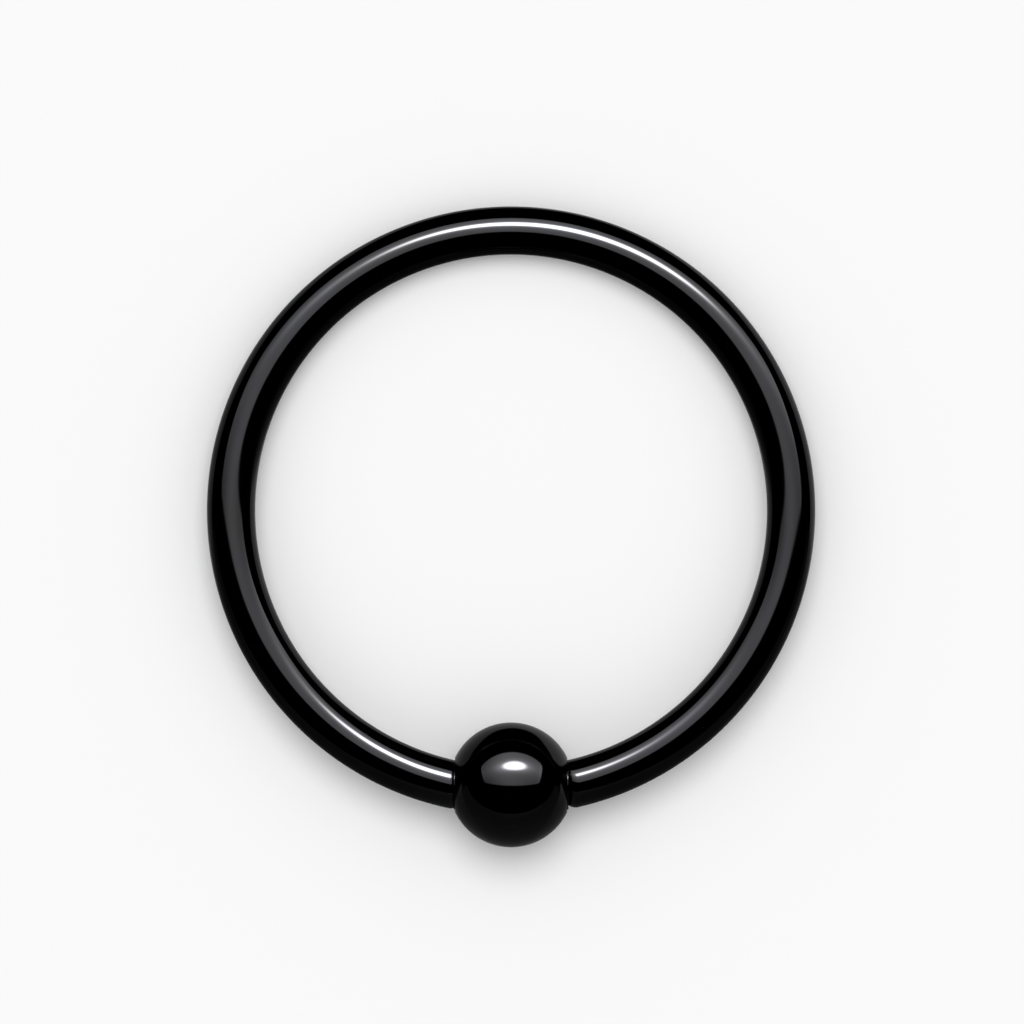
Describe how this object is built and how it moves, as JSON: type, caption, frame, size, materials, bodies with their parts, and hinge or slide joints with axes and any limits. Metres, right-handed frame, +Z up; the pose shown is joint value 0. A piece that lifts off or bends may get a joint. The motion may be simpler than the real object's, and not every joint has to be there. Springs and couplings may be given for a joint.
{
  "type": "bendable hoop ring",
  "caption": "Round black wire hoop for a piercing, closed by a ball fixed on the wire's end; the rounded free tip springs into a dimple in the ball.",
  "frame": {"origin": "middle of the whole's box in X and Y, on the surface that the hoop lies on", "axes": "+X from the wire's fixed end to its free tip; +Y from the ball across the hoop to the wire opposite; +Z up, out of the surface that the hoop lies on"},
  "size_m": [0.015, 0.0158, 0.0031],
  "materials": {
    "black_titanium": "mirror-polished titanium under a hard jet-black coating"
  },
  "bodies": {
    "root": {"hoop_wire": "black_titanium", "ball": "black_titanium"}
  },
  "joints": []
}
